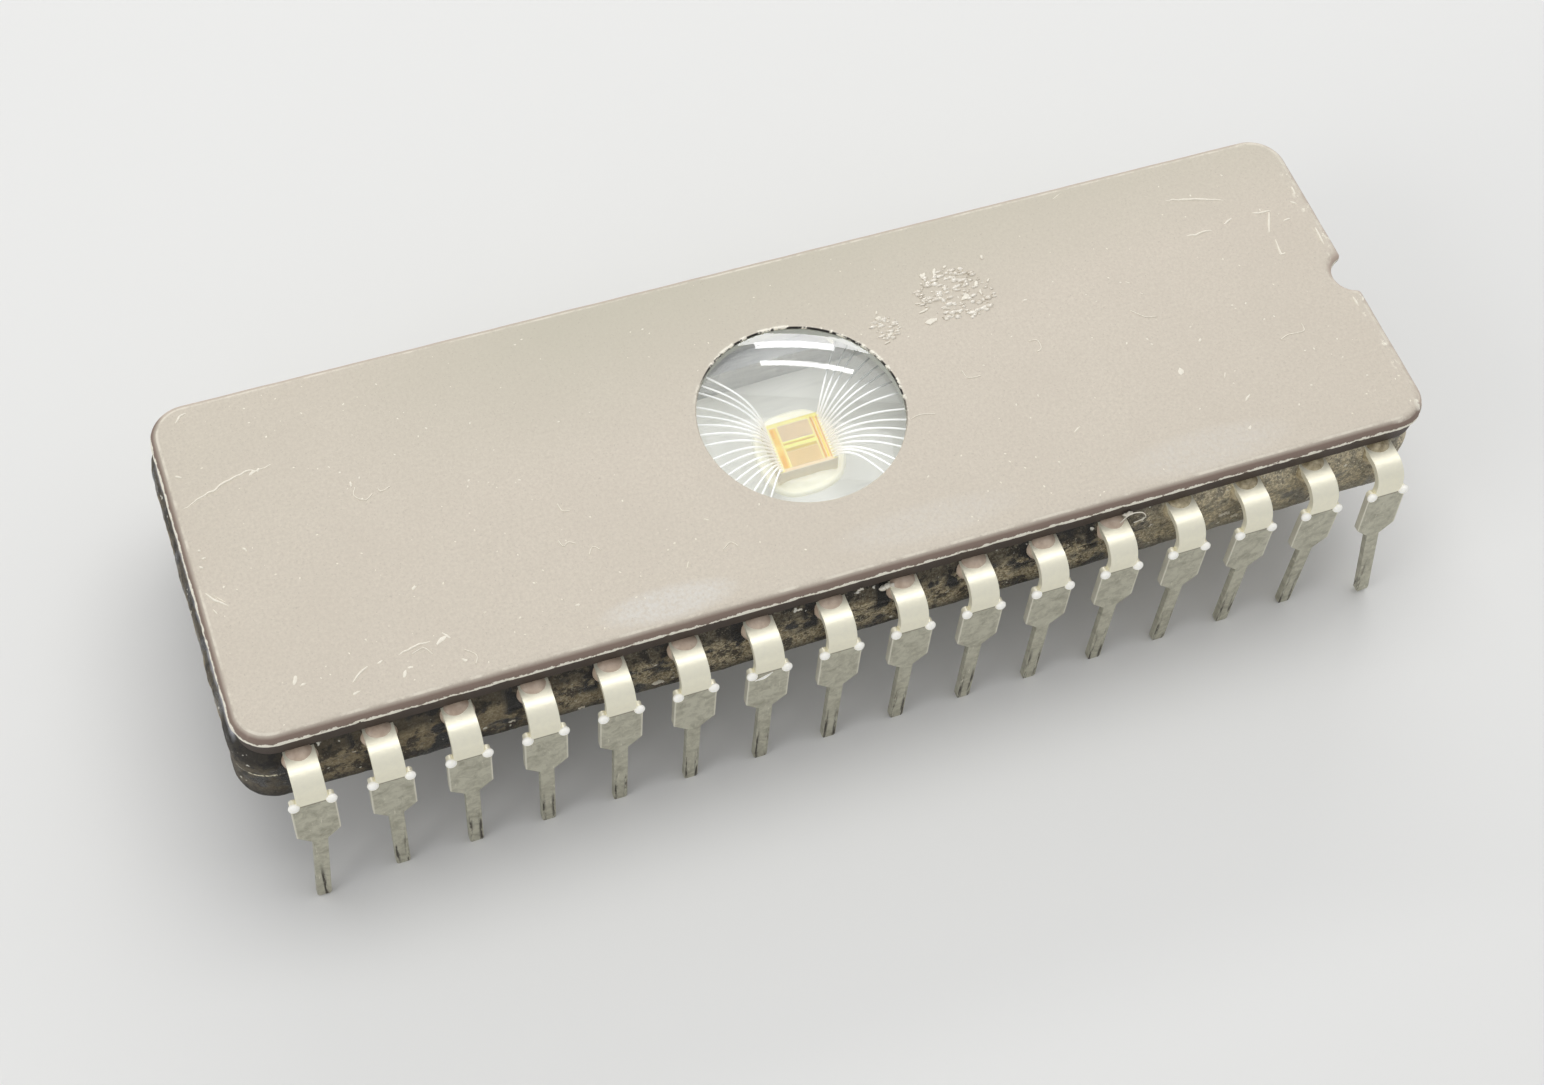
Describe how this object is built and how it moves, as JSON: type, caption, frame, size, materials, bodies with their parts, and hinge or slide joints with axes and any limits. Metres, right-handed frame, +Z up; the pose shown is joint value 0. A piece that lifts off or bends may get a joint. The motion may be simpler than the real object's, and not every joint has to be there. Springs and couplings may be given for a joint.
{
  "type": "windowed ceramic memory chip",
  "caption": "Ceramic dual in-line memory chip with a round glass window over the die, glass-sealed, with two rows of bent leads.",
  "frame": {"origin": "centre of the plane that the lead tips reach, under the middle of the lid; the lead pattern sits 0.07 mm off it towards -Y", "axes": "+Z up out of the lid, +X along the length towards the notched end, -Y towards the row that the picture shows"},
  "size_m": [0.042, 0.0162, 0.0087],
  "materials": {
    "base_ceramic": "pressed dark ceramic, rough, with glassy patches on its sides",
    "lid_ceramic": "matt taupe-grey ceramic, fine scratches and specks, chipped pale edge",
    "seal_glass": "olive-brown sealing glass, rough and mottled, glossy in places",
    "window_glass": "clear glass lens fused into the lid",
    "floor_plating": "silver-grey metal fired onto the floor of the well",
    "die_attach": "cream-white attach pool with a soft edge",
    "silicon": "gold and pinkish-tan patterned silicon",
    "bond_wire": "bright drawn aluminium wire",
    "tinned_lead": "tinned nickel-iron strip, cream-bright at the bend, dark streaks on the pins"
  },
  "bodies": {
    "root": {"ceramic_base": "base_ceramic", "ceramic_lid": "lid_ceramic", "seal_glass": "seal_glass", "window_lens": "window_glass", "floor_plating": "floor_plating", "die_attach": "die_attach", "silicon_die": "silicon", "bond_wires_plain_end": "bond_wire", "bond_wires_notch_end": "bond_wire", "lead_01": "tinned_lead", "lead_02": "tinned_lead", "lead_03": "tinned_lead", "lead_04": "tinned_lead", "lead_05": "tinned_lead", "lead_06": "tinned_lead", "lead_07": "tinned_lead", "lead_08": "tinned_lead", "lead_09": "tinned_lead", "lead_10": "tinned_lead", "lead_11": "tinned_lead", "lead_12": "tinned_lead", "lead_13": "tinned_lead", "lead_14": "tinned_lead", "lead_15": "tinned_lead", "lead_16": "tinned_lead", "lead_17": "tinned_lead", "lead_18": "tinned_lead", "lead_19": "tinned_lead", "lead_20": "tinned_lead", "lead_21": "tinned_lead", "lead_22": "tinned_lead", "lead_23": "tinned_lead", "lead_24": "tinned_lead", "lead_25": "tinned_lead", "lead_26": "tinned_lead", "lead_27": "tinned_lead", "lead_28": "tinned_lead", "lead_29": "tinned_lead", "lead_30": "tinned_lead", "lead_31": "tinned_lead", "lead_32": "tinned_lead"}
  },
  "joints": []
}
